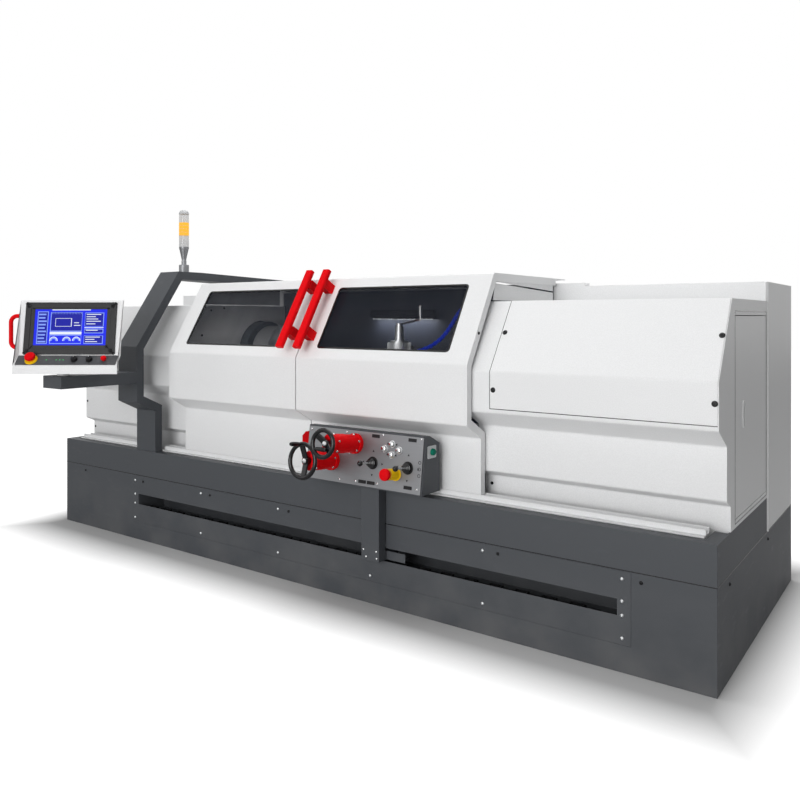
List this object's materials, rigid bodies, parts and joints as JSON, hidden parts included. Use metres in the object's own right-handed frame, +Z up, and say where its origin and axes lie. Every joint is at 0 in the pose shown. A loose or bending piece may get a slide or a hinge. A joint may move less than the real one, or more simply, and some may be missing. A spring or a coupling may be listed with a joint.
{
  "type": "cnc turning lathe",
  "caption": "Flat-bed turning lathe in a white enclosure with sliding hoods, a dark base and chip tray, a swivelling control pendant and a travelling handwheel pod.",
  "frame": {"origin": "centre of the base's underside, on the floor", "axes": "+X along the spindle towards the tailstock, +Y to the back, +Z up"},
  "size_m": [4, 2.2013, 1.967],
  "materials": {
    "white_paint": "satin powder coat",
    "dark_paint": "satin fine-texture coat",
    "gantry_paint": "satin fine-texture coat",
    "red_paint": "gloss enamel",
    "red_plastic": "gloss",
    "black_plastic": "satin",
    "bright_steel": "brushed and ground",
    "chrome": "polished",
    "machine_iron": "painted casting with ground ways",
    "smoked_pane": "smoked clear",
    "blue_plastic": "gloss",
    "amber_lens": "clear and gloss",
    "green_plastic": "gloss"
  },
  "bodies": {
    "machine": {"base_stand": "dark_paint", "slot_plate": "dark_paint", "drag_chain": "black_plastic", "chip_tray": "dark_paint", "lathe_bed": "machine_iron", "headstock": "machine_iron", "main_motor": "machine_iron", "belt_guard": "white_paint", "head_housing": "white_paint", "tail_housing": "white_paint", "tail_panel": "white_paint", "rear_cabinet": "white_paint", "work_lamp": "black_plastic", "hood_rails": "white_paint", "gantry": "gantry_paint", "stack_light": "amber_lens"},
    "left_hood_body": {"left_hood": "white_paint", "left_window": "smoked_pane", "left_handle": "red_paint"},
    "right_hood_body": {"right_hood": "white_paint", "right_window": "smoked_pane", "right_handle": "red_paint"},
    "side_door_body": {"side_door": "white_paint"},
    "cabinet_door_body": {"cabinet_door": "white_paint"},
    "pendant_body": {"pendant_shell": "white_paint", "pendant_front": "dark_paint", "pendant_grip": "red_paint"},
    "pendant_estop_body": {"pendant_estop": "red_plastic"},
    "pendant_knob_left_body": {"pendant_knob_left": "black_plastic"},
    "pendant_knob_right_body": {"pendant_knob_right": "black_plastic"},
    "pendant_button_body": {"pendant_button": "red_plastic"},
    "pod_body": {"pod_box": "dark_paint", "pod_face": "bright_steel", "wheel_housings": "red_paint", "pod_arm": "dark_paint"},
    "upper_handwheel_body": {"upper_handwheel": "black_plastic"},
    "lower_handwheel_body": {"lower_handwheel": "black_plastic"},
    "joystick_gimbal_body": {"joystick_gimbal": "bright_steel"},
    "joystick_body": {"joystick": "black_plastic"},
    "feed_lever_body": {"feed_lever": "black_plastic"},
    "jog_up_body": {"jog_up": "chrome"},
    "jog_left_body": {"jog_left": "chrome"},
    "jog_right_body": {"jog_right": "chrome"},
    "jog_down_body": {"jog_down": "chrome"},
    "pod_estop_body": {"pod_estop": "red_plastic"},
    "pod_switch_body": {"pod_switch": "green_plastic"},
    "carriage_body": {"saddle": "machine_iron"},
    "leadscrew_body": {"leadscrew": "bright_steel"},
    "cross_slide_body": {"cross_slide": "machine_iron", "toolpost": "bright_steel", "coolant_hose": "blue_plastic"},
    "clamp_lever_body": {"clamp_lever": "chrome"},
    "spindle_body": {"spindle": "bright_steel", "chuck": "bright_steel"},
    "jaw_1_body": {"jaw_1": "bright_steel"},
    "jaw_2_body": {"jaw_2": "bright_steel"},
    "jaw_3_body": {"jaw_3": "bright_steel"},
    "tailstock_body": {"tailstock": "machine_iron"},
    "quill_body": {"quill": "bright_steel"},
    "tail_wheel_body": {"tail_wheel": "black_plastic"}
  },
  "joints": [
    {"name": "left_hood_slide", "type": "slide", "parent": "machine", "child": "left_hood_body", "axis": [-1, 0, 0], "range_m": [0, 0.95]},
    {"name": "right_hood_slide", "type": "slide", "parent": "machine", "child": "right_hood_body", "axis": [1, 0, 0], "range_m": [0, 0.95]},
    {"name": "side_door_hinge", "type": "hinge", "parent": "machine", "child": "side_door_body", "pos_m": [1.99, 0.098, 0.9], "axis": [0, 0, 1], "range_deg": [0, 95]},
    {"name": "cabinet_door_hinge", "type": "hinge", "parent": "machine", "child": "cabinet_door_body", "pos_m": [-1.487, 0.726, 0.9], "axis": [0, 0, 1], "range_deg": [0, 95]},
    {"name": "pendant_swivel", "type": "hinge", "parent": "machine", "child": "pendant_body", "pos_m": [-1.181, -1.243, 1], "axis": [0, 0, 1], "range_deg": [-90, 90]},
    {"name": "pendant_estop_push", "type": "slide", "parent": "pendant_body", "child": "pendant_estop_body", "axis": [-0.4071, 0.5603, -0.7214], "range_m": [0, 0.006], "stiffness_N_per_m": 1200},
    {"name": "pendant_button_push", "type": "slide", "parent": "pendant_body", "child": "pendant_button_body", "axis": [-0.4071, 0.5603, -0.7214], "range_m": [0, 0.005], "stiffness_N_per_m": 600},
    {"name": "pendant_knob_left_turn", "type": "hinge", "parent": "pendant_body", "child": "pendant_knob_left_body", "pos_m": [-1.04506, -1.26508, 1.08789], "axis": [0.4071, -0.5603, 0.7214], "range_deg": [-135, 135]},
    {"name": "pendant_knob_right_turn", "type": "hinge", "parent": "pendant_body", "child": "pendant_knob_right_body", "pos_m": [-0.98195, -1.21924, 1.08789], "axis": [0.4071, -0.5603, 0.7214], "range_deg": [-135, 135]},
    {"name": "pod_slide", "type": "slide", "parent": "machine", "child": "pod_body", "axis": [1, 0, 0], "range_m": [-1.15, 0.95]},
    {"name": "upper_handwheel_turn", "type": "hinge", "parent": "pod_body", "child": "upper_handwheel_body", "pos_m": [0.455, -0.89522, 0.74921], "axis": [0, -0.9918, 0.1275], "continuous": true},
    {"name": "lower_handwheel_turn", "type": "hinge", "parent": "pod_body", "child": "lower_handwheel_body", "pos_m": [0.325, -0.90643, 0.66193], "axis": [0, -0.9918, 0.1275], "continuous": true},
    {"name": "joystick_tilt", "type": "hinge", "parent": "pod_body", "child": "joystick_gimbal_body", "pos_m": [0.561, -0.78787, 0.65879], "axis": [1, 0, 0], "range_deg": [-12, 12], "stiffness_Nm_per_rad": 2},
    {"name": "joystick_swing", "type": "hinge", "parent": "joystick_gimbal_body", "child": "joystick_body", "pos_m": [0.561, -0.78787, 0.65879], "axis": [0, 0.1275, 0.9918], "range_deg": [-12, 12], "stiffness_Nm_per_rad": 2},
    {"name": "feed_lever_tilt", "type": "hinge", "parent": "pod_body", "child": "feed_lever_body", "pos_m": [0.752, -0.788, 0.6578], "axis": [1, 0, 0], "range_deg": [-12, 12]},
    {"name": "jog_up_push", "type": "slide", "parent": "pod_body", "child": "jog_up_body", "axis": [0, 0.9918, -0.1275], "range_m": [0, 0.003], "stiffness_N_per_m": 800},
    {"name": "jog_left_push", "type": "slide", "parent": "pod_body", "child": "jog_left_body", "axis": [0, 0.9918, -0.1275], "range_m": [0, 0.003], "stiffness_N_per_m": 800},
    {"name": "jog_right_push", "type": "slide", "parent": "pod_body", "child": "jog_right_body", "axis": [0, 0.9918, -0.1275], "range_m": [0, 0.003], "stiffness_N_per_m": 800},
    {"name": "jog_down_push", "type": "slide", "parent": "pod_body", "child": "jog_down_body", "axis": [0, 0.9918, -0.1275], "range_m": [0, 0.003], "stiffness_N_per_m": 800},
    {"name": "pod_estop_push", "type": "slide", "parent": "pod_body", "child": "pod_estop_body", "axis": [0, 0.9918, -0.1275], "range_m": [0, 0.006], "stiffness_N_per_m": 1200},
    {"name": "pod_switch_turn", "type": "hinge", "parent": "pod_body", "child": "pod_switch_body", "pos_m": [0.83, -0.742, 0.729], "axis": [1, 0, 0], "range_deg": [0, 60]},
    {"name": "carriage_slide", "type": "slide", "parent": "machine", "child": "carriage_body", "axis": [1, 0, 0], "range_m": [-0.78, 0.3]},
    {"name": "leadscrew_turn", "type": "hinge", "parent": "machine", "child": "leadscrew_body", "pos_m": [0.5, -0.329, 0.704], "axis": [1, 0, 0], "range_deg": [-14041, 5401]},
    {"name": "cross_slide_feed", "type": "slide", "parent": "carriage_body", "child": "cross_slide_body", "axis": [0, 1, 0], "range_m": [-0.13, 0.06]},
    {"name": "clamp_lever_turn", "type": "hinge", "parent": "cross_slide_body", "child": "clamp_lever_body", "pos_m": [0.325, -0.28, 1.27], "axis": [0, 0, 1], "range_deg": [-60, 45]},
    {"name": "spindle_spin", "type": "hinge", "parent": "machine", "child": "spindle_body", "pos_m": [-1, -0.08, 1.1], "axis": [1, 0, 0], "continuous": true},
    {"name": "jaw_1_slide", "type": "slide", "parent": "spindle_body", "child": "jaw_1_body", "axis": [0, 0, 1], "range_m": [-0.008, 0.016]},
    {"name": "jaw_2_slide", "type": "slide", "parent": "spindle_body", "child": "jaw_2_body", "axis": [0, -0.866, -0.5], "range_m": [-0.008, 0.016]},
    {"name": "jaw_3_slide", "type": "slide", "parent": "spindle_body", "child": "jaw_3_body", "axis": [0, 0.866, -0.5], "range_m": [-0.008, 0.016]},
    {"name": "tailstock_slide", "type": "slide", "parent": "machine", "child": "tailstock_body", "axis": [1, 0, 0], "range_m": [-0.15, 0.1]},
    {"name": "quill_slide", "type": "slide", "parent": "tailstock_body", "child": "quill_body", "axis": [-1, 0, 0], "range_m": [0, 0.14]},
    {"name": "tail_wheel_turn", "type": "hinge", "parent": "tailstock_body", "child": "tail_wheel_body", "pos_m": [1.78, -0.08, 1.1], "axis": [1, 0, 0], "range_deg": [-1, 8401]}
  ],
  "couplings": [
    {"joint": "leadscrew_turn", "follows": "carriage_slide", "rad_per_m": 314.16},
    {"joint": "jaw_2_slide", "follows": "jaw_1_slide", "ratio": 1},
    {"joint": "jaw_3_slide", "follows": "jaw_1_slide", "ratio": 1},
    {"joint": "tail_wheel_turn", "follows": "quill_slide", "rad_per_m": 1047.2}
  ]
}
